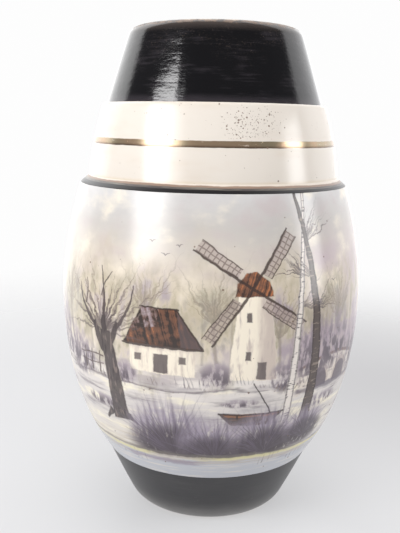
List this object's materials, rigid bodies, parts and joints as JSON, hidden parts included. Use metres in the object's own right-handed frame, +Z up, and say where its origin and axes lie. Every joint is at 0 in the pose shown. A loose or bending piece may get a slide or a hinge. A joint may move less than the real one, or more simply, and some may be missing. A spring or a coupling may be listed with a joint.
{
  "type": "vase",
  "caption": "Ovoid glazed ceramic vase with a dark tapered foot, painted belly, sloping ledge, pale shoulder band and dark tapering neck, hollow and open at the top.",
  "frame": {"origin": "centre of the foot ring, on the surface that the vase stands on", "axes": "+Z up along the axis the vase is turned about, -Y towards the side seen in the picture"},
  "size_m": [0.1572, 0.1572, 0.25],
  "materials": {
    "painted_glaze": "gloss"
  },
  "bodies": {
    "root": {"vase": "painted_glaze"}
  },
  "joints": []
}
